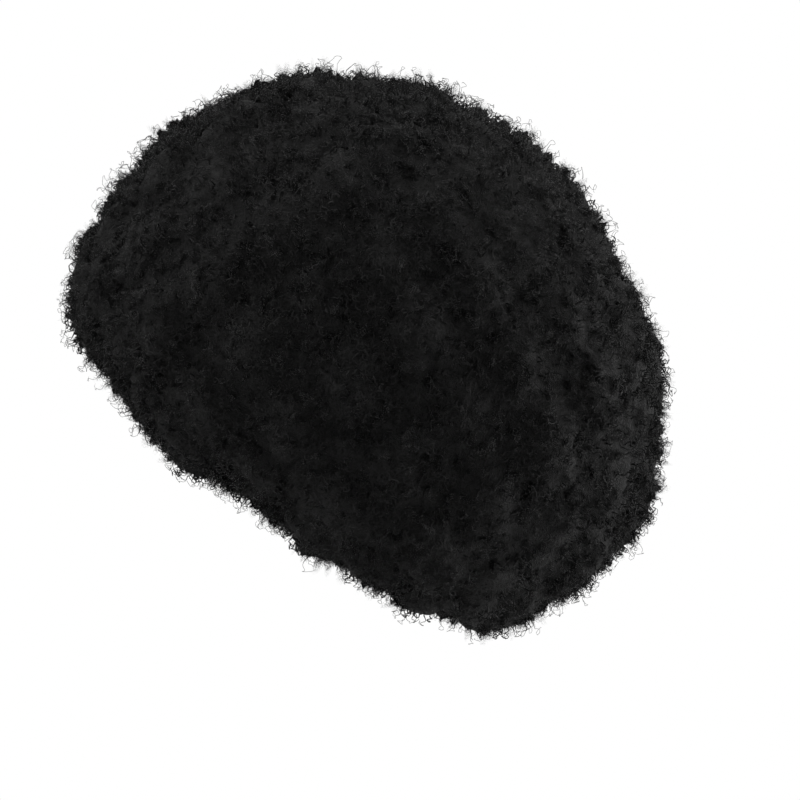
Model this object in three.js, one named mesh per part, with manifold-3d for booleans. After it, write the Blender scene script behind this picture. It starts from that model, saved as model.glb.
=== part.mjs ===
// An afro wig as it sits on a head: a stretch cap, the elastic band inside its edge, and a ball of kinky hair
// made of locks that are fused to the dense hair behind them.
// Millimetres, +Z up. The face looks along -Y and the wearer's left is +X. The origin is the top of the
// cap's inside, where the crown of the head touches it.
import * as THREE from "three";
import { mergeVertices } from "three/addons/utils/BufferGeometryUtils.js";
import Module from "manifold-3d";

const wasm = await Module();
wasm.setup();

// The head that the cap is made for, measured inside the cap
const capLength = 190;
const capWidth = 152;
const crownDepth = 96; // from the crown down to the widest level
const skullDepth = 104; // from the widest level down to the base of the skull
const headFullness = 2.3; // how square the head is in section: 2 is an ellipse
const foreheadTaper = 0.09; // how much narrower than the middle the cap is at the forehead

// The cap and its edge band
const capWall = 1.5;
const bandWall = 1.4;
const bandWidth = 13;
const gap = 0.3; // between pieces that lie on each other

// How far the hair stands out from the cap, and how low it hangs
const hairOverForehead = 77;
const hairBehindHead = 108;
const hairOverCrown = 104;
const hairAtSide = 99;
const hairDrop = 245; // from the crown to the lowest lock

// The locks that make the hair's outer form
const lockCount = 160;
const lockRelief = 6.5; // from a lock's tip down to the dense hair between the locks
const lockRoot = 26; // how deep a lock is rooted in the dense hair
const lockOverlap = 1.04; // lock radius against half the distance to the next lock
const lockUneven = 2.2; // how much longer or shorter than the mean a lock may be
const lockUnevenTurn = 13; // radians from one lock's unevenness to the next one's
const lockStretch = 1.18; // how oval a lock is in section
const lockLean = 5; // degrees that a lock leans over

// The way in for the face, an oval cone that opens forwards and down from inside the head to past the
// hair in front. Its ends are given as half sizes.
const faceWayPitch = 38; // degrees below level
const faceWayBelow = 26; // how far it starts below the head's widest level
const faceWayStart = { back: -10, down: crownDepth + faceWayBelow };
const faceWayLength = 1.5 * (capLength / 2 + hairOverForehead);
const faceWayInner = { across: 45, along: 62 };
const faceWayOuter = { across: 84, along: 110 };

// The way in for the neck, an oval cone that opens downwards and leans back, to past the lowest hair
const neckWayBelow = 22; // how far it starts below the head's widest level
const neckWayPast = 40; // how far it runs on below the lowest hair
const neckWayTop = { back: 4, down: crownDepth + neckWayBelow };
const neckWayBottom = { back: 22, down: hairDrop + neckWayPast };
const neckWayInner = { across: 58, along: 60 };
const neckWayOuter = { across: 78, along: 76 };

// A lock from its root to its tip. out is a share of its radius, and below is how far under the tip, as a
// share of the relief.
const lockShoulders = [
  { out: 1.08, below: 2.0 },
  { out: 0.7, below: 0.4 },
];

// The hair's outline from the side. back and up are shares of the half length and the half height of the
// hair. fullness is how square the hair is from that line round to the side: 2 is an ellipse.
const hairOutline = [
  { back: 0.98, up: 0.0, fullness: 2.1 },
  { back: 0.89, up: 0.24, fullness: 2.1 },
  { back: 0.77, up: 0.48, fullness: 2.1 },
  { back: 0.57, up: 0.73, fullness: 2.1 },
  { back: 0.31, up: 0.9, fullness: 2.1 },
  { back: 0.0, up: 0.98, fullness: 2.1 },
  { back: -0.33, up: 0.96, fullness: 2.1 },
  { back: -0.63, up: 0.81, fullness: 2.1 },
  { back: -0.86, up: 0.53, fullness: 2.1 },
  { back: -0.98, up: 0.26, fullness: 2.2 },
  { back: -0.95, up: 0.04, fullness: 2.4 },
  { back: -0.81, up: -0.15, fullness: 2.6 },
  { back: -0.73, up: -0.3, fullness: 2.9 },
  { back: -0.58, up: -0.43, fullness: 3.1 },
  { back: -0.37, up: -0.57, fullness: 3.2 },
  { back: -0.18, up: -0.72, fullness: 3.4 },
  { back: 0.0, up: -0.85, fullness: 3.3 },
  { back: 0.19, up: -0.95, fullness: 3.1 },
  { back: 0.4, up: -1.0, fullness: 2.7 },
  { back: 0.69, up: -0.88, fullness: 2.2 },
  { back: 0.93, up: -0.6, fullness: 2.1 },
  { back: 0.99, up: -0.26, fullness: 2.1 },
];

// The cap's edge from the side, from the forehead round the ear to the nape. back is a share of half the
// cap's length, and down a share of its whole depth.
const capEdge = [
  { place: "in front", back: -1.3, down: 0.17 },
  { place: "forehead", back: -0.95, down: 0.18 },
  { place: "temple", back: -0.62, down: 0.31 },
  { place: "front of the ear tab", back: -0.45, down: 0.5 },
  { place: "tip of the ear tab", back: -0.32, down: 0.61 },
  { place: "back of the ear tab", back: -0.17, down: 0.56 },
  { place: "over the ear", back: 0.04, down: 0.49 },
  { place: "behind the ear", back: 0.27, down: 0.58 },
  { place: "side of the nape", back: 0.48, down: 0.74 },
  { place: "nape", back: 0.75, down: 0.83 },
  { place: "behind", back: 1.3, down: 0.85 },
];

// How finely the round forms are cut into flat faces
const capSides = 28;
const capRings = 14;
const hairDetail = 5;
const coneSides = 24;
const lockSides = 5;
const outlineSteps = 180;
const edgeSteps = 30;

const materials = {
  cap: new THREE.MeshStandardMaterial({ color: 0x1b1a1a, roughness: 0.85, metalness: 0 }),
  band: new THREE.MeshStandardMaterial({ color: 0x141313, roughness: 0.7, metalness: 0 }),
  hair: new THREE.MeshStandardMaterial({ color: 0x141414, roughness: 0.95, metalness: 0 }),
};

// Solids are closed meshes whose corners are shared, so that they can be joined and cut
function solidOf(geometry) {
  const bare = geometry.clone();
  bare.deleteAttribute("normal");
  bare.deleteAttribute("uv");
  const merged = mergeVertices(bare, 1e-3);
  return new wasm.Manifold(
    new wasm.Mesh({
      numProp: 3,
      vertProperties: merged.attributes.position.array,
      triVerts: new Uint32Array(merged.index.array),
    }),
  );
}

function geometryOf(solid) {
  const { numProp, vertProperties, triVerts } = solid.getMesh();
  const corners = new Float32Array((vertProperties.length / numProp) * 3);
  for (let i = 0; i < corners.length / 3; i++) {
    corners.set(vertProperties.subarray(i * numProp, i * numProp + 3), i * 3);
  }
  const geometry = new THREE.BufferGeometry();
  geometry.setAttribute("position", new THREE.BufferAttribute(corners, 3));
  geometry.setIndex(new THREE.BufferAttribute(new Uint32Array(triVerts), 1));
  geometry.computeVertexNormals();
  return geometry;
}

// Moves each corner of a geometry to where the given function puts it
function reshape(geometry, moved) {
  const corners = geometry.attributes.position;
  const point = new THREE.Vector3();
  for (let i = 0; i < corners.count; i++) {
    moved(point.fromBufferAttribute(corners, i));
    corners.setXYZ(i, point.x, point.y, point.z);
  }
  return geometry;
}

// The inside of the cap, grown by an offset: egg-shaped from above and deeper below its widest level
function headForm(offset) {
  const form = new THREE.SphereGeometry(1, capSides, capRings).rotateX(Math.PI / 2);
  return solidOf(
    reshape(form, (p) => {
      const sum = ["x", "y", "z"].reduce((total, way) => total + Math.abs(p[way]) ** headFullness, 0);
      p.multiplyScalar(sum ** (-1 / headFullness));
      const taper = 1 + foreheadTaper * Math.min(p.y, 0);
      const depth = p.z > 0 ? crownDepth : skullDepth;
      p.x *= (capWidth / 2) * taper + offset;
      p.y *= capLength / 2 + offset;
      p.z = p.z * (depth + offset) - crownDepth;
    }),
  );
}

// The cap's edge as a smooth line seen from the side, moved up by a distance at right angles to itself
function edgeLine(raised) {
  const depth = crownDepth + skullDepth;
  const knots = capEdge.map(({ back, down }) => new THREE.Vector2((back * capLength) / 2, -down * depth));
  const line = new THREE.SplineCurve(knots);
  return Array.from({ length: edgeSteps + 1 }, (_, i) => {
    const along = line.getTangentAt(i / edgeSteps);
    const point = line.getPointAt(i / edgeSteps);
    return point.add(new THREE.Vector2(-along.y, along.x).multiplyScalar(raised));
  });
}

// A prism across the head whose side view is the given outline of back and up
function prismAcross(outline) {
  const width = capWidth * 2;
  const prism = new THREE.ExtrudeGeometry(new THREE.Shape(outline), { depth: width, bevelEnabled: false });
  // The outline's own x and y turn into the part's Y and Z
  const turn = new THREE.Matrix4().makeBasis(
    new THREE.Vector3(0, 1, 0),
    new THREE.Vector3(0, 0, 1),
    new THREE.Vector3(1, 0, 0),
  );
  return solidOf(prism.applyMatrix4(turn).translate(-width / 2, 0, 0));
}

function aboveEdge() {
  const line = edgeLine(0);
  const top = crownDepth; // well above the crown
  const first = line[0];
  const last = line[line.length - 1];
  return prismAcross([...line, new THREE.Vector2(last.x, top), new THREE.Vector2(first.x, top)]);
}

function alongEdge() {
  return prismAcross([...edgeLine(0), ...edgeLine(bandWidth).reverse()]);
}

function capSolid() {
  return headForm(capWall).subtract(headForm(0)).intersect(aboveEdge());
}

function bandSolid() {
  return headForm(-gap).subtract(headForm(-gap - bandWall)).intersect(alongEdge());
}

// The hair's half sizes and the middle that they are measured from
const hairHalf = {
  across: capWidth / 2 + hairAtSide,
  along: (capLength + hairOverForehead + hairBehindHead) / 2,
  up: (hairOverCrown + hairDrop) / 2,
};
const hairMiddle = new THREE.Vector3(
  0,
  (hairBehindHead - hairOverForehead) / 2,
  (hairOverCrown - hairDrop) / 2,
);

// The outline as a smooth closed line: its angle from straight back, its reach and its fullness
function measuredOutline() {
  const knots = hairOutline.map(
    ({ back, up, fullness }) => new THREE.Vector3(back * hairHalf.along, up * hairHalf.up, fullness),
  );
  const line = new THREE.CatmullRomCurve3(knots, true, "centripetal");
  return line
    .getSpacedPoints(outlineSteps)
    .slice(0, outlineSteps)
    .map((p) => ({ angle: Math.atan2(p.y, p.x), reach: Math.hypot(p.x, p.y), fullness: p.z }))
    .sort((a, b) => a.angle - b.angle);
}

const outline = measuredOutline();

// The reach and fullness of the outline at any angle, between its two nearest measured points
function outlineAt(angle) {
  const next = outline.findIndex((p) => p.angle > angle);
  const after = outline[next < 0 ? 0 : next];
  const before = outline.at(next < 0 ? -1 : next - 1);
  const turn = 2 * Math.PI;
  const span = (after.angle - before.angle + turn) % turn;
  const share = ((angle - before.angle + turn) % turn) / span;
  return {
    reach: THREE.MathUtils.lerp(before.reach, after.reach, share),
    fullness: THREE.MathUtils.lerp(before.fullness, after.fullness, share),
  };
}

// How far the hair reaches from its middle in a direction
function hairReach(direction) {
  const flat = Math.hypot(direction.y, direction.z);
  const { reach, fullness } = outlineAt(Math.atan2(direction.z, direction.y));
  const share = (flat / reach) ** fullness + (Math.abs(direction.x) / hairHalf.across) ** fullness;
  return share ** (-1 / fullness);
}

function hairPoint(direction) {
  return direction.clone().multiplyScalar(hairReach(direction));
}

// The way that the hair's surface faces in a direction, from two points close beside it
function hairNormal(direction) {
  const step = 0.05;
  const helper = Math.abs(direction.z) < 0.9 ? new THREE.Vector3(0, 0, 1) : new THREE.Vector3(1, 0, 0);
  const side = new THREE.Vector3().crossVectors(helper, direction).normalize();
  const rise = new THREE.Vector3().crossVectors(direction, side);
  const beside = (way, by) => hairPoint(direction.clone().addScaledVector(way, by).normalize());
  const across = beside(side, step).sub(beside(side, -step));
  const upwards = beside(rise, step).sub(beside(rise, -step));
  return across.cross(upwards).normalize();
}

function denseHair() {
  const ball = new THREE.IcosahedronGeometry(1, hairDetail);
  return solidOf(
    reshape(ball, (p) => {
      p.normalize();
      p.multiplyScalar(hairReach(p) - lockRelief).add(hairMiddle);
    }),
  );
}

// One lock: a rounded tuft whose tip is at its own origin and whose root is lockRoot below
function lockForm(radius) {
  const root = new THREE.Vector2(0, -lockRoot);
  const shoulders = lockShoulders.map(
    ({ out, below }) => new THREE.Vector2(out * radius, -below * lockRelief),
  );
  const tip = new THREE.Vector2(0, 0);
  return new THREE.LatheGeometry([root, ...shoulders, tip], lockSides).rotateX(Math.PI / 2);
}

// The locks sit on a spiral lattice, which spreads any number of them evenly
function locks() {
  const goldenAngle = Math.PI * (3 - Math.sqrt(5));
  return Array.from({ length: lockCount }, (_, i) => {
    const height = 1 - (2 * (i + 0.5)) / lockCount;
    const ring = Math.sqrt(1 - height * height);
    const turn = i * goldenAngle;
    const direction = new THREE.Vector3(ring * Math.cos(turn), ring * Math.sin(turn), height);
    const halfSpacing = hairReach(direction) * Math.sqrt(Math.PI / lockCount);
    const longer = lockUneven * Math.sin(i * lockUnevenTurn);
    const tip = hairPoint(direction).addScaledVector(direction, longer).add(hairMiddle);
    const up = new THREE.Vector3(0, 0, 1);
    const upright = new THREE.Quaternion().setFromUnitVectors(up, hairNormal(direction));
    const lock = lockForm(halfSpacing * lockOverlap)
      .scale(lockStretch, 1 / lockStretch, 1)
      .rotateX(THREE.MathUtils.degToRad(lockLean))
      .rotateZ(turn)
      .applyQuaternion(upright)
      .translate(tip.x, tip.y, tip.z);
    return solidOf(lock);
  });
}

// A cone between two points of the middle plane, oval in section
function coneBetween(start, end, startHalf, endHalf) {
  const from = new THREE.Vector3(0, start.back, -start.down);
  const to = new THREE.Vector3(0, end.back, -end.down);
  const way = to.clone().sub(from);
  const cone = new THREE.CylinderGeometry(1, 1, 1, coneSides).translate(0, 0.5, 0).rotateX(Math.PI / 2);
  const up = new THREE.Vector3(0, 0, 1);
  const turned = new THREE.Quaternion().setFromUnitVectors(up, way.clone().normalize());
  return solidOf(
    reshape(cone, (p) => {
      const across = THREE.MathUtils.lerp(startHalf.across, endHalf.across, p.z);
      const along = THREE.MathUtils.lerp(startHalf.along, endHalf.along, p.z);
      p.set(p.x * across, p.y * along, p.z * way.length());
      p.applyQuaternion(turned).add(from);
    }),
  );
}

function faceWay() {
  const pitch = THREE.MathUtils.degToRad(faceWayPitch);
  const end = {
    back: faceWayStart.back - faceWayLength * Math.cos(pitch),
    down: faceWayStart.down + faceWayLength * Math.sin(pitch),
  };
  return coneBetween(faceWayStart, end, faceWayInner, faceWayOuter);
}

function neckWay() {
  return coneBetween(neckWayTop, neckWayBottom, neckWayInner, neckWayOuter);
}

function hairSolid() {
  const grown = wasm.Manifold.union([denseHair(), ...locks()]);
  const room = wasm.Manifold.union([headForm(capWall + gap), faceWay(), neckWay()]);
  return grown.subtract(room);
}

function pieceOf(name, solid, material) {
  const piece = new THREE.Mesh(geometryOf(solid), material);
  piece.name = name;
  return piece;
}

const wig = new THREE.Group();
wig.name = "afro_wig";
wig.add(pieceOf("wig_cap", capSolid(), materials.cap));
wig.add(pieceOf("edge_band", bandSolid(), materials.band));
wig.add(pieceOf("hair", hairSolid(), materials.hair));

export default wig;
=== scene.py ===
# %% [markdown]
# An afro wig, lesson by lesson. The real thing is a stretch cap with rows of kinked black fibre sewn on it.
# The fibre stands out all round in a ball, so dense that no single hair is seen inside it, while its edge
# breaks up into small loops and coils and fades out in a haze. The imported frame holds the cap, its edge band
# and the solid form of the hair. This script gives each of them its looks and never moves them.

# %% The frame
import math

import bpy
import bmesh
import numpy as np
from mathutils import Matrix, Vector, noise
from mathutils.bvhtree import BVHTree


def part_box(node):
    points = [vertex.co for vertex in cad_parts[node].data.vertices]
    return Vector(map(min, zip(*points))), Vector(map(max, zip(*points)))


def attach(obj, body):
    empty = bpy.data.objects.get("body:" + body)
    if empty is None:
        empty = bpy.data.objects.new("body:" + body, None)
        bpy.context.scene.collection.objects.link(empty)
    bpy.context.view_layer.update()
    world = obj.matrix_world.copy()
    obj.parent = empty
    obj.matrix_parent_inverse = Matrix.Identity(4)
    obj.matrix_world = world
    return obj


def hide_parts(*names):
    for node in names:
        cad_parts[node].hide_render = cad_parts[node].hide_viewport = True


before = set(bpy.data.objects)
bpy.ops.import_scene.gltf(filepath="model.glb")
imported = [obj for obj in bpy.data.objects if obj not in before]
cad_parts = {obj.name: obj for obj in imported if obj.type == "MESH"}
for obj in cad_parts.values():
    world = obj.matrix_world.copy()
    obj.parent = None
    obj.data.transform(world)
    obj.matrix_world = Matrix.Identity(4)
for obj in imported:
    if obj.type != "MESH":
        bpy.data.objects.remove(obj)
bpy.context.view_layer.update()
scene = bpy.context.scene
MM = 0.001
hair_low, hair_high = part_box("hair")
print("hair box in mm", [round(v / MM) for v in (*hair_low, *hair_high)])

# %% [markdown]
# Finishes are made of nodes. Written as node calls, even a short formula fills a page, so a small class
# wraps a socket and lets Python's own signs add the Math nodes. A second class makes every other node from
# its type, its settings and its inputs, which keeps each finish down to a few readable lines.


# %% A socket that does sums
class Value:
    def __init__(self, finish, socket):
        self.finish = finish
        self.socket = socket

    def calculate(self, operation, first, second):
        return self.finish.node("ShaderNodeMath", {"operation": operation}, {0: first, 1: second})

    def __add__(self, other):
        return self.calculate("ADD", self, other)

    def __radd__(self, other):
        return self.calculate("ADD", other, self)

    def __sub__(self, other):
        return self.calculate("SUBTRACT", self, other)

    def __rsub__(self, other):
        return self.calculate("SUBTRACT", other, self)

    def __mul__(self, other):
        return self.calculate("MULTIPLY", self, other)

    def __rmul__(self, other):
        return self.calculate("MULTIPLY", other, self)

    def __pow__(self, other):
        return self.calculate("POWER", self, other)

    def __abs__(self):
        return self.finish.node("ShaderNodeMath", {"operation": "ABSOLUTE"}, {0: self})


# %% A finish that makes its nodes
class Finish:
    def __init__(self, name):
        self.material = bpy.data.materials.new(name)
        self.material.use_nodes = True
        self.tree = self.material.node_tree
        self.tree.nodes.clear()

    def node(self, kind, settings=None, inputs=None, output=0):
        """A node of any type. An input that is a Value is linked, and any other is set as it is."""
        made = self.tree.nodes.new(kind)
        for setting, value in (settings or {}).items():
            setattr(made, setting, value)
        for name, value in (inputs or {}).items():
            if isinstance(value, Value):
                self.tree.links.new(value.socket, made.inputs[name])
            else:
                made.inputs[name].default_value = value
        return Value(self, made.outputs[output] if made.outputs else None)

    def place(self):
        return self.node("ShaderNodeTexCoord", output="Object")

    def measure(self, name):
        """A number that the mesh carries at its points."""
        return self.node("ShaderNodeAttribute", {"attribute_name": name}, output="Fac")

    def mix(self, mask, low, high):
        """A colour between two others. The Mix node has its colours at inputs 6 and 7, and at output 2."""
        return self.node("ShaderNodeMix", {"data_type": "RGBA"}, {0: mask, 6: low, 7: high}, output=2)

    def grain(self, size, detail=3.0, swirl=0.0):
        inputs = {"Vector": self.place(), "Scale": 1 / size, "Detail": detail, "Distortion": swirl}
        return self.node("ShaderNodeTexNoise", None, inputs)

    def strands(self, size):
        """Noise folded at its middle value: 1 along thin crossing lines, and less between them."""
        return 1 - abs(self.grain(size, detail=1.0, swirl=1.5) * 2 - 1)

    def bump(self, height, depth):
        return self.node("ShaderNodeBump", None, {"Height": height, "Distance": depth})

    def surface(self, **inputs):
        named = {name.replace("_", " "): value for name, value in inputs.items()}
        shader = self.node("ShaderNodeBsdfPrincipled", None, named)
        self.node("ShaderNodeOutputMaterial", None, {"Surface": shader})
        print("finish", self.material.name, "has", len(self.tree.nodes), "nodes")
        return self.material


def grey(tone):
    return (tone, tone, tone, 1.0)


# %% [markdown]
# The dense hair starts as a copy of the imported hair, so it keeps its outline and its locks. The faces of the
# copy are long and uneven, and roughened as they are they would show creases. Voxel remeshing gives it even
# faces first, and smoothing melts the cut edges of the locks.

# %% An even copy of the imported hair
WELD = 0.005 * MM
HAIR_FACE = 3.6 * MM
SOFTEN_SHARE = 0.5
SOFTEN_STEPS = 10


def placed(name, data):
    """A new object of the scene, at the origin and unturned."""
    made = bpy.data.objects.new(name, data)
    scene.collection.objects.link(made)
    return made


def welded_copy(node, name):
    """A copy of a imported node, whose faces share their corners."""
    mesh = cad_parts[node].data.copy()
    form = bmesh.new()
    form.from_mesh(mesh)
    bmesh.ops.remove_doubles(form, verts=form.verts, dist=WELD)
    form.to_mesh(mesh)
    form.free()
    mesh.materials.clear()
    return placed(name, mesh)


def applied(piece):
    """The piece with its modifiers made part of its mesh."""
    seen = piece.evaluated_get(bpy.context.evaluated_depsgraph_get())
    piece.data = bpy.data.meshes.new_from_object(seen)
    piece.modifiers.clear()
    return piece


def triangles_of(piece):
    piece.data.calc_loop_triangles()
    return len(piece.data.loop_triangles)


hair_mass = welded_copy("hair", "hair_mass")
remesh = hair_mass.modifiers.new("even_faces", "REMESH")
remesh.mode = "VOXEL"
remesh.voxel_size = HAIR_FACE
soften = hair_mass.modifiers.new("soften", "SMOOTH")
soften.factor = SOFTEN_SHARE
soften.iterations = SOFTEN_STEPS
applied(hair_mass)
print("even copy of the hair:", triangles_of(hair_mass), "triangles")

# %% [markdown]
# Where the hair lies against the cap it is never seen, so most of its faces there are dropped, and the loose
# strands can have more. Marking them by hand would hold for one size only. Instead one formula stands for
# the head, an ellipsoid that is a little fuller than a true one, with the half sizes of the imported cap.

# %% Fewer faces against the cap
HEAD_FULLNESS = 2.3
AGAINST_CAP = 1.08
HIDDEN_LEFT = 0.12


def points_of(mesh, kind="vertices", field="co"):
    """Three numbers for each item of the mesh, by default the places of its points."""
    items = getattr(mesh, kind)
    flat = np.empty(len(items) * 3, np.float32)
    items.foreach_get(field, flat)
    return flat.reshape(-1, 3).astype(float)


cap_points = points_of(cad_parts["wig_cap"].data)
widest = cap_points[cap_points[:, 0].argmax()]
head_middle = np.array([0.0, 0.0, widest[2]])
head_half = cap_points.max(axis=0) - head_middle


def outside_head(points):
    """1 on the cap's outside, more further out, measured as shares of the head's half sizes."""
    shares = np.abs((points - head_middle) / head_half)
    return (shares ** HEAD_FULLNESS).sum(axis=1) ** (1 / HEAD_FULLNESS)


def thin_out(piece, hidden):
    """Leaves only a share of the faces at the hidden points."""
    group = piece.vertex_groups.new(name="hidden")
    group.add(np.flatnonzero(hidden).tolist(), 1.0, "REPLACE")
    fewer = piece.modifiers.new("fewer_faces", "DECIMATE")
    fewer.vertex_group = group.name
    fewer.ratio = 1 - (1 - HIDDEN_LEFT) * hidden.mean()
    applied(piece)
    piece.vertex_groups.clear()


thin_out(hair_mass, outside_head(points_of(hair_mass.data)) < AGAINST_CAP)
print("half sizes of the head in mm:", np.round(head_half / MM, 1))
print("with fewer hidden faces:", triangles_of(hair_mass), "triangles")

# %% [markdown]
# A closed skin has a hard edge, which no afro has. So the dense hair is drawn in by the depth of the loose
# hair that will cover it: less where the hair is thin, and more at the lowest locks over the nape, where
# the loose hair would stand out too far. Near the cap nothing is drawn in.

# %% How far the dense hair is drawn in
LOOSE_DEPTH = 2.9 * MM
THIN_SHARE = 0.22
# How far under the surface a ray starts that measures the thickness
BELOW_SKIN = 1 * MM
# A ramp from the cap outwards, and one round the way to the nape, as a cosine: 32 to 14 degrees off it
OFF_CAP = {"start": 1.02, "width": 0.1}
NAPE_WAY = np.array([0.0, 0.69, -0.72])
NAPE_DEPTH = 2 * MM
NAPE_ROUND = {"start": 0.85, "width": 0.12}
ball_middle = (np.array(hair_low) + np.array(hair_high)) / 2


def unit(vectors):
    return vectors / np.linalg.norm(vectors, axis=1, keepdims=True)


def ramp(values, start, width):
    """0 up to the start, and from there an even rise to 1 over the width."""
    return np.clip((values - start) / width, 0, 1)


def hair_behind(mesh, points, normals):
    """How thick the hair is behind each point."""
    tree = BVHTree.FromPolygons(points.tolist(), [face.vertices for face in mesh.polygons])
    starts = points - normals * BELOW_SKIN
    hits = [tree.ray_cast(Vector(start), Vector(-normal)) for start, normal in zip(starts, normals)]
    return np.array([hit[3] or LOOSE_DEPTH for hit in hits])


skin = points_of(hair_mass.data)
outwards = points_of(hair_mass.data, "vertex_normals", "vector")
off_cap = ramp(outside_head(skin), **OFF_CAP)
at_nape = ramp(unit(skin - ball_middle) @ NAPE_WAY, **NAPE_ROUND)
loose = LOOSE_DEPTH + NAPE_DEPTH * at_nape
drawn_in = off_cap * np.minimum(loose, THIN_SHARE * hair_behind(hair_mass.data, skin, outwards))
print("dense hair drawn in by up to", round(drawn_in.max() / MM, 1), "mm")

# %% [markdown]
# Seen close, the inside of the ball is a felt of thousands of crossing hairs. A ridged noise, folded at its
# middle value, draws crossing lines like that, and a high power makes them thin. They are raised a little and
# shinier than the dark between them. Their lighter tone is a painted highlight on the hairs, and the dark
# between them is painted shade. A coarser noise makes these painted lines stronger in some patches and weaker
# in others, and a faint sheen stands for the light that fine hairs catch at a slant.

# %% The finish of the dense hair
KINK = 3.4 * MM
KINK_SHARPNESS = 8
FINE_KINK = 1.9 * MM
FINE_KINK_SHARPNESS = 6
FELT_CLUMP = 14 * MM
FELT_RELIEF = 1.5 * MM
# Painted shade between the hairs, and painted highlight on the hairs themselves
FELT_PAINTED_SHADE = grey(0.0005)
FELT_PAINTED_HIGHLIGHT = grey(0.02)


def felted_hair():
    finish = Finish("kinked_black_fibre")
    coarse = finish.strands(KINK) ** KINK_SHARPNESS
    fine = finish.strands(FINE_KINK) ** FINE_KINK_SHARPNESS
    lines = coarse * 0.6 + fine * 0.4
    clumps = finish.grain(FELT_CLUMP)
    # The lines are a painted highlight and the dark between them painted shade, stronger in some patches than
    # others
    tone = lines * (clumps * 0.8 + 0.6)
    return finish.surface(
        Base_Color=finish.mix(tone, FELT_PAINTED_SHADE, FELT_PAINTED_HIGHLIGHT),
        Roughness=0.8 - lines * 0.3,
        Normal=finish.bump(lines, FELT_RELIEF),
        Specular_IOR_Level=0.04,
        Sheen_Weight=0.02,
        Sheen_Roughness=0.4,
    )


# %% [markdown]
# Teased hair is lumpy at two sizes: low lumps as wide as a thumb, and small pits between its tufts. A
# Displace modifier would push the hair against the cap too, where it only has to keep clear of the cloth. So
# the push is worked out for each point, fades out towards the cap and ends in a small step back.

# %% The dense hair made rough
LUMP = {"size": 18 * MM, "push": 0.7 * MM}
PIT = {"size": 5.5 * MM, "push": 1.8 * MM}
STEP_BACK = 0.9 * MM


def noise_at(points, size):
    """Noise between -1 and 1 at each point, with lumps of the given size."""
    return np.array([noise.noise(Vector(point / size)) for point in points])


bumps = sum(noise_at(skin, kind["size"]) * kind["push"] for kind in (LUMP, PIT))
push = off_cap * bumps - drawn_in - (1 - off_cap) * STEP_BACK
hair_mass.data.vertices.foreach_set("co", (skin + outwards * push[:, None]).astype(np.float32).ravel())
hair_mass.data.update()
hair_mass.data.shade_smooth()
hair_mass.data.materials.append(felted_hair())
print("lumps and pits from", round(bumps.min() / MM, 1), "to", round(bumps.max() / MM, 1), "mm")
print("dense hair:", triangles_of(hair_mass), "triangles")

# %% [markdown]
# The loose outer layer is what makes hair of a lump. Such fibre is crimped from end to end, so no strand is
# straight: it winds out of the dense hair and mostly arches back into it, and neighbours cling together in
# tufts. Blender's own hair could be grown here, but it isn't a mesh, and thousands of separate curves would
# be slow. So numpy works out all the strands at once. First come their roots, chance points on the dense
# hair. None lies against the cap, and faces that look inwards, to the neck and the face, have fewer.

# %% Where the strands grow
STRANDS = 9900
TUFT = 10 * MM
TUFT_PULL = 0.35
INWARD_SHARE = 0.4
luck = np.random.default_rng(29)


def roots_on(mesh, count):
    """Chance points on the mesh, closer together in a tuft, and the surface's normals there."""
    mesh.calc_loop_triangles()
    corners = np.empty(len(mesh.loop_triangles) * 3, np.int32)
    mesh.loop_triangles.foreach_get("vertices", corners)
    places = points_of(mesh)[corners.reshape(-1, 3)]
    facing = np.cross(places[:, 1] - places[:, 0], places[:, 2] - places[:, 0])
    middles = places.mean(axis=1)
    crowd = np.linalg.norm(facing, axis=1) * (1 + TUFT_PULL * noise_at(middles, TUFT))
    crowd[outside_head(middles) < AGAINST_CAP] = 0
    crowd[(facing * (middles - ball_middle)).sum(axis=1) < 0] *= INWARD_SHARE
    chosen = luck.choice(len(crowd), count, p=crowd / crowd.sum())
    share = luck.dirichlet((1, 1, 1), count)[:, :, None]
    return (places[chosen] * share).sum(axis=1), unit(facing[chosen])


roots, root_ways = roots_on(hair_mass.data, STRANDS)
print("strand roots:", len(roots))

# %% [markdown]
# A strand is a line of points with a radius at each. It rises and sinks again while it travels along the
# surface, and coils round its own way as it goes. In a tuft the strands are taller, and a few fly away
# further than the rest. A strand is thick near its root, where it stands for hairs that cling together, and
# thin higher up, where single hairs show against the light.

# %% How a strand winds
# How deep it is rooted, and how thick it is at its root and from the thin height up
SEGMENTS = 12
ROOT_DEPTH = 0.8 * MM
ROOT_RADIUS = 0.6 * MM
TOP_RADIUS = 0.13 * MM
THIN_HEIGHT = 9 * MM
THINNING = 1.3
# How high it rises: from the lowest share of the loft up, and the power keeps tall ones few
LOFT = 8 * MM
LOWEST_SHARE = 0.25
LOFT_SPREAD = 1.2
FEW_TALL = 1.3
TUFT_LOFT = 0.45
FLYAWAY_SHARE = 0.04
FLYAWAY_LOFT = 1.5
# How it arches along the surface, as a share of half a turn, and strays from its way
TRAVEL = (3 * MM, 11 * MM)
ARCH = (0.7, 0.98)
ARCH_FULLNESS = 0.7
STRAY = (0, 1.5 * MM)
STRAY_TURNS = 0.35
POINT_CHANCE = 0.15 * MM
# How it coils: narrow at its root, then wider and narrower in turn
COIL = (0.9 * MM, 1.9 * MM)
TURNS = (1.9, 2.7)
COIL_AT_ROOT = 0.3
COIL_OPENING = 4
COIL_MEAN = 0.85
COIL_SWELL = 0.35
SWELL_ANGLE = 6


def spread(ends, count):
    """A chance number between the two ends for each of the strands, as a column."""
    return luck.uniform(*ends, count)[:, None]


def coil_width(t, phase):
    """How wide each coil is at a share of its strand's length, as a share of its full width."""
    opened = min(1.0, COIL_AT_ROOT + COIL_OPENING * t)
    return opened * (COIL_MEAN + COIL_SWELL * np.sin(3 * phase + SWELL_ANGLE * t))


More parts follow.
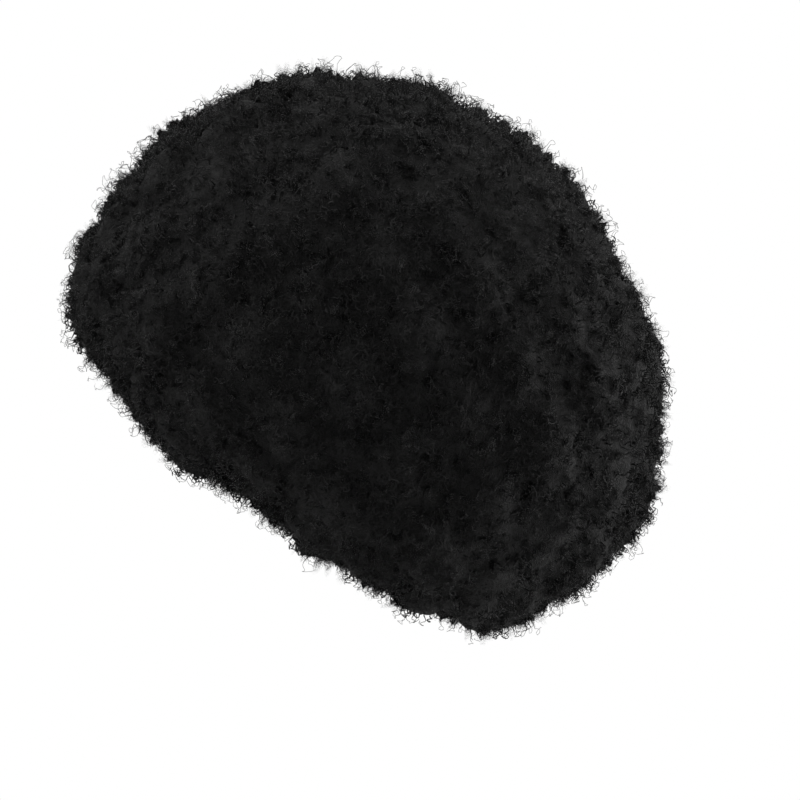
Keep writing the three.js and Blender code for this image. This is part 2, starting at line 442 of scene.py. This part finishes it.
def centre_lines(roots, normals):
    """The points along every strand, by strands and points, and the strand's radius at each."""
    count = len(roots)
    tuft = 1 + TUFT_LOFT * noise_at(roots, TUFT)[:, None]
    chance = unit(luck.normal(size=(count, 3)))
    over = unit(np.cross(normals, chance))
    aside = np.cross(normals, over)
    flyaway = np.where(luck.random((count, 1)) < FLYAWAY_SHARE, FLYAWAY_LOFT, 1)
    height = LOFT * (LOWEST_SHARE + LOFT_SPREAD * spread((0, 1), count) ** FEW_TALL) * tuft * flyaway
    travel = spread(TRAVEL, count)
    coil = spread(COIL, count)
    turns = spread(TURNS, count) * np.sign(chance[:, :1])
    phase = spread((0, 2 * math.pi), count)
    arch = math.pi * spread(ARCH, count)
    stray = spread(STRAY, count)
    axis = unit(normals * height + over * travel)
    side = unit(np.cross(axis, chance))
    third = np.cross(axis, side)
    start = roots - normals * ROOT_DEPTH
    lines = np.empty((count, SEGMENTS + 1, 3))
    radii = np.empty((count, SEGMENTS + 1, 1))
    for i in range(SEGMENTS + 1):
        t = i / SEGMENTS
        turned = 2 * math.pi * turns * t
        around = np.cos(phase + turned) * side + np.sin(phase + turned) * third
        winding = around * coil * coil_width(t, phase)
        risen = height * np.sin(arch * t) ** ARCH_FULLNESS
        bend = aside * stray * np.sin(phase + STRAY_TURNS * turned)
        lines[:, i] = start + normals * risen + over * travel * t + winding + bend
        thick = np.clip(1 - risen / THIN_HEIGHT, 0, 1) ** THINNING
        radii[:, i] = TOP_RADIUS + (ROOT_RADIUS - TOP_RADIUS) * thick
    return lines + luck.normal(scale=POINT_CHANCE, size=lines.shape), radii


lines, radii = centre_lines(roots, root_ways)
strand_lengths = np.linalg.norm(np.diff(lines, axis=1), axis=2).sum(axis=1)
print("mean length of a strand in mm:", round(strand_lengths.mean() / MM, 1))

# %% [markdown]
# A curve with a bevel would make a tube of each line, one by one. Here the rings of all the tubes are laid
# at once, three points round each line, carried along it so that no tube twists. A face closes each tube at
# its root, and it ends in a point. All the tubes of one region of the ball are one mesh.

# %% Tubes round the lines
STRAND_SIDES = 3
OFF_LINE = 0.1


def tube_points(lines, radii):
    """The rings round every line but its last point, which is the strand's tip."""
    ways = np.diff(lines, axis=1)
    ways /= np.linalg.norm(ways, axis=2, keepdims=True)
    side = np.cross(ways[:, 0], ways[:, 0][:, [1, 2, 0]] + OFF_LINE)
    rings = np.empty((len(lines), SEGMENTS, STRAND_SIDES, 3))
    for i in range(SEGMENTS):
        side = unit(side - (side * ways[:, i]).sum(axis=1, keepdims=True) * ways[:, i])
        third = np.cross(ways[:, i], side)
        for k in range(STRAND_SIDES):
            angle = 2 * math.pi * k / STRAND_SIDES
            around = math.cos(angle) * side + math.sin(angle) * third
            rings[:, i, k] = lines[:, i] + radii[:, i] * around
    return rings


def one_tube_faces(segments):
    """The faces of one tube, by its own point numbers: its root, its sides and its tip."""
    faces = [list(range(STRAND_SIDES))[::-1]]
    for i in range(segments - 1):
        near, far = i * STRAND_SIDES, (i + 1) * STRAND_SIDES
        for k in range(STRAND_SIDES):
            after = (k + 1) % STRAND_SIDES
            faces.append([near + k, near + after, far + after, far + k])
    last, tip = (segments - 1) * STRAND_SIDES, segments * STRAND_SIDES
    for k in range(STRAND_SIDES):
        faces.append([last + k, last + (k + 1) % STRAND_SIDES, tip])
    return faces


def set_measure(mesh, name, numbers):
    """Gives each point of the mesh a number that a finish can read."""
    layer = mesh.attributes.new(name, "FLOAT", "POINT")
    layer.data.foreach_set("value", numbers.astype(np.float32).ravel())


def joined_tubes(name, rings, tips, material):
    """One mesh of closed tubes, from the rings of points round each and the tip of each."""
    count, segments = rings.shape[:2]
    points = np.concatenate([rings.reshape(count, -1, 3), tips[:, None]], axis=1)
    faces = one_tube_faces(segments)
    firsts = np.arange(count)[:, None] * points.shape[1]
    corners = (np.concatenate(faces)[None] + firsts).ravel()
    sizes = np.tile([len(face) for face in faces], count)
    mesh = bpy.data.meshes.new(name)
    mesh.vertices.add(points.shape[0] * points.shape[1])
    mesh.vertices.foreach_set("co", points.astype(np.float32).ravel())
    mesh.loops.add(len(corners))
    mesh.loops.foreach_set("vertex_index", corners.astype(np.int32))
    mesh.polygons.add(len(sizes))
    mesh.polygons.foreach_set("loop_start", (np.cumsum(sizes) - sizes).astype(np.int32))
    mesh.update(calc_edges=True)
    mesh.shade_smooth()
    set_measure(mesh, "tone", np.repeat(luck.random(count), points.shape[1]))
    mesh.materials.append(material)
    return placed(name, mesh)


print("faces of one strand:", len(one_tube_faces(SEGMENTS)))

# %% [markdown]
# A single fibre is smooth plastic and shines along its length, so the loose strands are a little glossier
# than the felt. Each strand carries its own tone as an attribute, because no two hairs catch the light alike.


# %% The finish of the loose strands
def loose_fibre():
    finish = Finish("loose_black_fibre")
    return finish.surface(
        Base_Color=finish.mix(finish.measure("tone"), grey(0.003), grey(0.017)),
        Roughness=0.6,
        Specular_IOR_Level=0.06,
    )


# %% One mesh of strands for each region
REGIONS = {
    "curls_left": (1, 0, 0),
    "curls_right": (-1, 0, 0),
    "curls_fringe": (0, -1, 0),
    "curls_back": (0, 1, 0),
    "curls_crown": (0, 0, 1),
    "curls_nape": (0, 0, -1),
}
nearest = (unit(roots - ball_middle) @ np.array(list(REGIONS.values())).T).argmax(axis=1)
fibre = loose_fibre()
curls = []
for number, name in enumerate(REGIONS):
    own = lines[nearest == number]
    piece = joined_tubes(name, tube_points(own, radii[nearest == number]), own[:, -1], fibre)
    print(name, "has", len(own), "strands and", triangles_of(piece), "triangles")
    curls.append(piece)

# %% [markdown]
# Between the loose strands the real edge fades out in a haze of hairs far finer than a strand. Tubes as thin
# as that would take too many faces, and a soft blur isn't a thing that a mesh has. So the haze is made of
# wisps: low curved fins, rooted in the dense hair and leaning all ways. A fin has three points at each
# ring, its foot, its rim and a slight swell between them, and closes as a tube does.

# %% The shape of a wisp
WISPS = 6200
WISP_SEGMENTS = 5
# Its length and height, each with the shares that it varies between, and how its ends slope down
WISP_LENGTH = 11 * MM
WISP_LENGTHS = (0.7, 1.3)
WISP_HEIGHT = 10 * MM
WISP_HEIGHTS = (0.5, 1.3)
LOWEST_RISE = 0.15
RISE_FULLNESS = 0.6
# How deep it is buried, how far it leans and bows to a side, and how thick its swell is
WISP_ROOT = 2 * MM
WISP_LEAN = 0.7
WISP_BOW = 3 * MM
WISP_THICK = 0.9 * MM
# How dense its hairs are
DENSE_AT_FOOT = 1.2
DENSE_AT_RIM = 0.12
DENSE_AT_SWELL = (DENSE_AT_FOOT + DENSE_AT_RIM) / 2


def wisp_rings(roots, normals):
    """Three points round each wisp at every ring, how dense its hairs are there, and its far tip."""
    count = len(roots)
    over = unit(np.cross(normals, luck.normal(size=(count, 3))))
    aside = np.cross(normals, over)
    up = unit(normals + aside * spread((-WISP_LEAN, WISP_LEAN), count))
    half = WISP_LENGTH / 2 * spread(WISP_LENGTHS, count)
    tall = WISP_HEIGHT * spread(WISP_HEIGHTS, count)
    bow = spread((-WISP_BOW, WISP_BOW), count)
    buried = roots - normals * WISP_ROOT
    rings = np.empty((count, WISP_SEGMENTS, STRAND_SIDES, 3))
    dense = np.empty((count, WISP_SEGMENTS, STRAND_SIDES))
    for i in range(WISP_SEGMENTS):
        t = i / WISP_SEGMENTS
        rise = max(LOWEST_RISE, math.sin(math.pi * t) ** RISE_FULLNESS)
        foot = buried + over * half * (2 * t - 1) + aside * bow * math.sin(math.pi * t)
        reach = up * (WISP_ROOT + tall) * rise
        rings[:, i, 0] = foot
        rings[:, i, 1] = foot + reach
        rings[:, i, 2] = foot + reach / 2 + aside * WISP_THICK * rise
        dense[:, i] = np.array([DENSE_AT_FOOT, DENSE_AT_RIM, DENSE_AT_SWELL]) * rise
    return rings, dense, buried + over * half


wisp_roots, wisp_ways = roots_on(hair_mass.data, WISPS)
rings, ring_density, tips = wisp_rings(wisp_roots, wisp_ways)
highest = np.linalg.norm(rings[:, WISP_SEGMENTS // 2, 1] - wisp_roots, axis=1)
print("mean reach of a wisp in mm:", round(highest.mean() / MM, 1))

# %% [markdown]
# A wisp is see-through except for the same thin crossing lines, in the size of fine hairs. How many of them
# show follows the density that the mesh carries: many at the foot and few at the rim and the ends, so a wisp
# has no outline of its own. Its colour is painted lighter where it thins out, a painted glow for the light
# that comes through there.

# %% The wisps and their finish
FINE_HAIR = 1.3 * MM
HAZE_WIDTH = 0.3
HAZE_SHARPNESS = 4.0


def haze_of_hairs():
    finish = Finish("haze_of_fine_hairs")
    dense = finish.measure("dense")
    over_edge = finish.strands(FINE_HAIR) - 1 + dense * HAZE_WIDTH
    clamped = {"operation": "MULTIPLY", "use_clamp": True}
    # Half random tone, half painted light: the colour is lighter where the wisp's hairs thin out
    tone = finish.measure("tone") * 0.5 + (1 - dense) * 0.5
    return finish.surface(
        Base_Color=finish.mix(tone, grey(0.002), grey(0.03)),
        Roughness=0.6,
        Alpha=finish.node("ShaderNodeMath", clamped, {0: over_edge, 1: HAZE_SHARPNESS}),
        Specular_IOR_Level=0.06,
        Sheen_Weight=0.03,
        Sheen_Roughness=0.4,
    )


wisps = joined_tubes("hair_wisps", rings, tips, haze_of_hairs())
tip_density = np.zeros((WISPS, 1))
set_measure(wisps.data, "dense", np.concatenate([ring_density.reshape(WISPS, -1), tip_density], axis=1))
print("wisps:", triangles_of(wisps), "triangles")

# %% [markdown]
# The cap is a stretch net with the rows of hair stitched along it, and its edge is a ribbed elastic. Only
# their insides show, from below. A copy of each is rounded off by a Subdivision Surface.

# %% The cap and its band, rounded off
ROUND_OFF_LEVELS = 1


def rounded(node, name):
    piece = welded_copy(node, name)
    piece.data.shade_smooth()
    round_off = piece.modifiers.new("round_off", "SUBSURF")
    round_off.levels = ROUND_OFF_LEVELS
    round_off.render_levels = ROUND_OFF_LEVELS
    return applied(piece)


cap_cloth = rounded("wig_cap", "cap_net")
band = rounded("edge_band", "cap_elastic")
print("cap and band:", triangles_of(cap_cloth), "and", triangles_of(band), "triangles")

# %% [markdown]
# The rows of stitches are real ridges: level planes cut the cap, and the middle line of each row is raised.
# A bump alone would leave the cap's inside smooth where it is seen at a slant. Rows at even heights would lie
# too far apart on the flat crown, so their levels are spaced evenly along the cap's curve instead.

# %% Rows of stitches inside the cap
ROW_STEP = 10.5 * MM
ROW_WIDTH = 3 * MM
ROW_RISE = 0.8 * MM
ON_ROW = 0.01 * MM
CLEAR_OF_BAND = 2.5 * MM
CURVE_SAMPLES = 400


def row_levels():
    """Heights that lie a row apart along the cap's curve, from its crown down to its lowest edge."""
    crown = cap_points[:, 2].max()
    down = np.linspace(0, crown - cap_points[:, 2].min(), CURVE_SAMPLES)
    share = np.clip(np.abs(down - head_half[2]) / head_half[2], 0, 1)
    across = head_half[0] * (1 - share ** HEAD_FULLNESS) ** (1 / HEAD_FULLNESS)
    walked = np.concatenate([[0], np.cumsum(np.hypot(np.diff(down), np.diff(across)))])
    return crown - np.interp(np.arange(ROW_STEP, walked[-1], ROW_STEP), walked, down)


def raise_rows(piece, levels):
    """Raises the rows on the piece's inside, clear of the band, and tells how many points it raised."""
    form = bmesh.new()
    form.from_mesh(piece.data)
    for level in levels:
        for offset in (-ROW_WIDTH / 2, 0, ROW_WIDTH / 2):
            everything = form.verts[:] + form.edges[:] + form.faces[:]
            bmesh.ops.bisect_plane(form, geom=everything, plane_co=(0, 0, level + offset), plane_no=(0, 0, 1))
    form.normal_update()
    row = form.verts.layers.float.new("row")
    elastic = BVHTree.FromObject(band, bpy.context.evaluated_depsgraph_get())
    middle = Vector(head_middle)
    raised = 0
    for vert in form.verts:
        inside = vert.normal.dot(middle - vert.co) > 0
        on_row = min(abs(vert.co.z - level) for level in levels) < ON_ROW
        if inside and on_row and elastic.find_nearest(vert.co)[3] > CLEAR_OF_BAND:
            vert[row] = 1
            vert.co += vert.normal * ROW_RISE
            raised += 1
    form.to_mesh(piece.data)
    form.free()
    return raised


levels = row_levels()
print("rows of stitches:", len(levels), "with", raise_rows(cap_cloth, levels), "raised points")

# %% [markdown]
# The ribs of the elastic run along the band, side by side across its width. So each point of the band needs
# to know how far it lies from the lower rim. The rim's faces are found by the way that they look: the sides
# of the band look outwards or inwards, and only the rim looks straight down or to the front.

# %% How far across the band each point lies
STRAIGHT = 0.001


def band_places(piece):
    """The distance of each point from the band's lower rim."""
    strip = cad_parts["edge_band"].data
    rim = [face.vertices for face in strip.polygons if abs(face.normal.x) < STRAIGHT and face.normal.z < 0]
    tree = BVHTree.FromPolygons(points_of(strip).tolist(), rim)
    return np.array([tree.find_nearest(vert.co)[3] for vert in piece.data.vertices])


across_band = band_places(band)
set_measure(band.data, "across", across_band)
print("band width in mm:", round(across_band.max() / MM, 1))

# %% [markdown]
# Cell borders of a Voronoi pattern make the threads of the net, which are too fine to be geometry. The
# stitches on the rows are the crossing lines again, and show only where the rows' own measure is 1. Their
# lighter tone is a painted sheen of their fibres. The elastic's ribs are a sine wave of the distance across
# the band.

# %% The finishes of the cap and its band
NET_HOLE = 2.2 * MM
THREAD_SHARPNESS = 8
STITCH = 1.4 * MM
RIB_STEP = 1.6 * MM
NET_WEAR = 22 * MM
BAND_WEAR = 9 * MM
CLOTH_RELIEF = 0.5 * MM


def stretch_net():
    finish = Finish("black_stretch_net")
    inputs = {"Vector": finish.place(), "Scale": 1 / NET_HOLE}
    threads = 1 - finish.node("ShaderNodeTexVoronoi", {"feature": "DISTANCE_TO_EDGE"}, inputs)
    row = finish.measure("row")
    stitches = row * finish.strands(STITCH)
    worn = finish.grain(NET_WEAR)
    net = (1 - row) * threads ** THREAD_SHARPNESS
    return finish.surface(
        # The stitches are painted lighter than the net: a painted sheen of their black fibres
        Base_Color=finish.mix(net * 0.5 + stitches * 0.9 + worn * 0.2, grey(0.008), grey(0.1)),
        Roughness=0.85 - stitches * 0.2,
        Normal=finish.bump(net * 0.5 + stitches, CLOTH_RELIEF),
        Specular_IOR_Level=0.3,
    )


def ribbed_elastic():
    finish = Finish("black_ribbed_elastic")
    turned = finish.measure("across") * (2 * math.pi / RIB_STEP)
    ribs = finish.node("ShaderNodeMath", {"operation": "SINE"}, {0: turned}) * 0.5 + 0.5
    worn = finish.grain(BAND_WEAR)
    return finish.surface(
        # Painted light and shade: the ribs' crests are painted lighter and their grooves darker, following the
        # bump
        Base_Color=finish.mix(ribs * 0.6 + worn * 0.4, grey(0.014), grey(0.08)),
        Roughness=0.7 + worn * 0.15,
        Normal=finish.bump(ribs, CLOTH_RELIEF),
        Specular_IOR_Level=0.35,
    )


cap_cloth.data.materials.append(stretch_net())
band.data.materials.append(ribbed_elastic())

# %% [markdown]
# Every piece rides on the one body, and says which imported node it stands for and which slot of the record
# its finish belongs to.

# %% Bodies and slots
PIECES = [
    *[(piece, "hair", "hair_fibre") for piece in (hair_mass, *curls, wisps)],
    (cap_cloth, "wig_cap", "cap_net"),
    (band, "edge_band", "elastic"),
]
for piece, node, slot in PIECES:
    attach(piece, "root")
    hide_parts(node)
print("all pieces:", sum(triangles_of(piece) for piece, node, slot in PIECES), "triangles")

# %% [markdown]
# The picture is a plain white studio. A wig on a head is seen at eye height, level and from the side, with
# a long lens. The floor lies well below, out of the picture, and only shows in views from above.

# %% Floor
FLOOR_DROP = 3
FLOOR_RADIUS = 4
FLOOR_SIDES = 64


def make_floor():
    form = bmesh.new()
    bmesh.ops.create_circle(form, cap_ends=True, segments=FLOOR_SIDES, radius=FLOOR_RADIUS)
    mesh = bpy.data.meshes.new("studio_floor")
    form.to_mesh(mesh)
    form.free()
    mesh.transform(Matrix.Translation((0, 0, -FLOOR_DROP)))
    floor = placed("studio_floor", mesh)
    mesh.materials.append(Finish("pale_floor").surface(Base_Color=grey(0.9), Roughness=0.9))


make_floor()

# %% [markdown]
# Black hair shows its form only by what it reflects, so a white world lights it evenly from all sides and
# three large soft lamps shape it: one over the crown, the strongest behind it, and a weak one in front.

# %% Light
SEEN_MIDDLE = Vector((0, 0.0366, -0.101))
LAMPS = {
    "top": {"place": (0.0, -0.2, 1.7), "size": 1.5, "power": 35},
    "side": {"place": (-0.3, 1.85, -0.2), "size": 1.8, "power": 68},
    "front": {"place": (0.5, -1.8, 0.5), "size": 1.5, "power": 22},
}


def lamp(name, place, size, power):
    light = bpy.data.lights.new(name, "AREA")
    light.shape = "DISK"
    light.size = size
    light.energy = power
    made = placed(name, light)
    made.location = place
    made.rotation_euler = (SEEN_MIDDLE - Vector(place)).to_track_quat("-Z", "Y").to_euler()


scene.view_settings.view_transform = "Standard"
scene.world = bpy.data.worlds.new("white_studio")
scene.world.use_nodes = True
background = scene.world.node_tree.nodes["Background"]
background.inputs["Color"].default_value = grey(1.0)
background.inputs["Strength"].default_value = 1.0
for name, column in LAMPS.items():
    lamp(name, **column)
print("lamps:", *LAMPS)

# %% Camera
SEEN_WIDTH = 0.496
LENS = 120

camera = bpy.data.cameras.new("side_view")
camera.lens = LENS
distance = SEEN_WIDTH * LENS / camera.sensor_width
camera_object = placed("side_view", camera)
camera_object.location = SEEN_MIDDLE + Vector((distance, 0, 0))
camera_object.rotation_euler = (math.pi / 2, 0, math.pi / 2)
scene.camera = camera_object
print("camera", round(distance, 2), "m away")
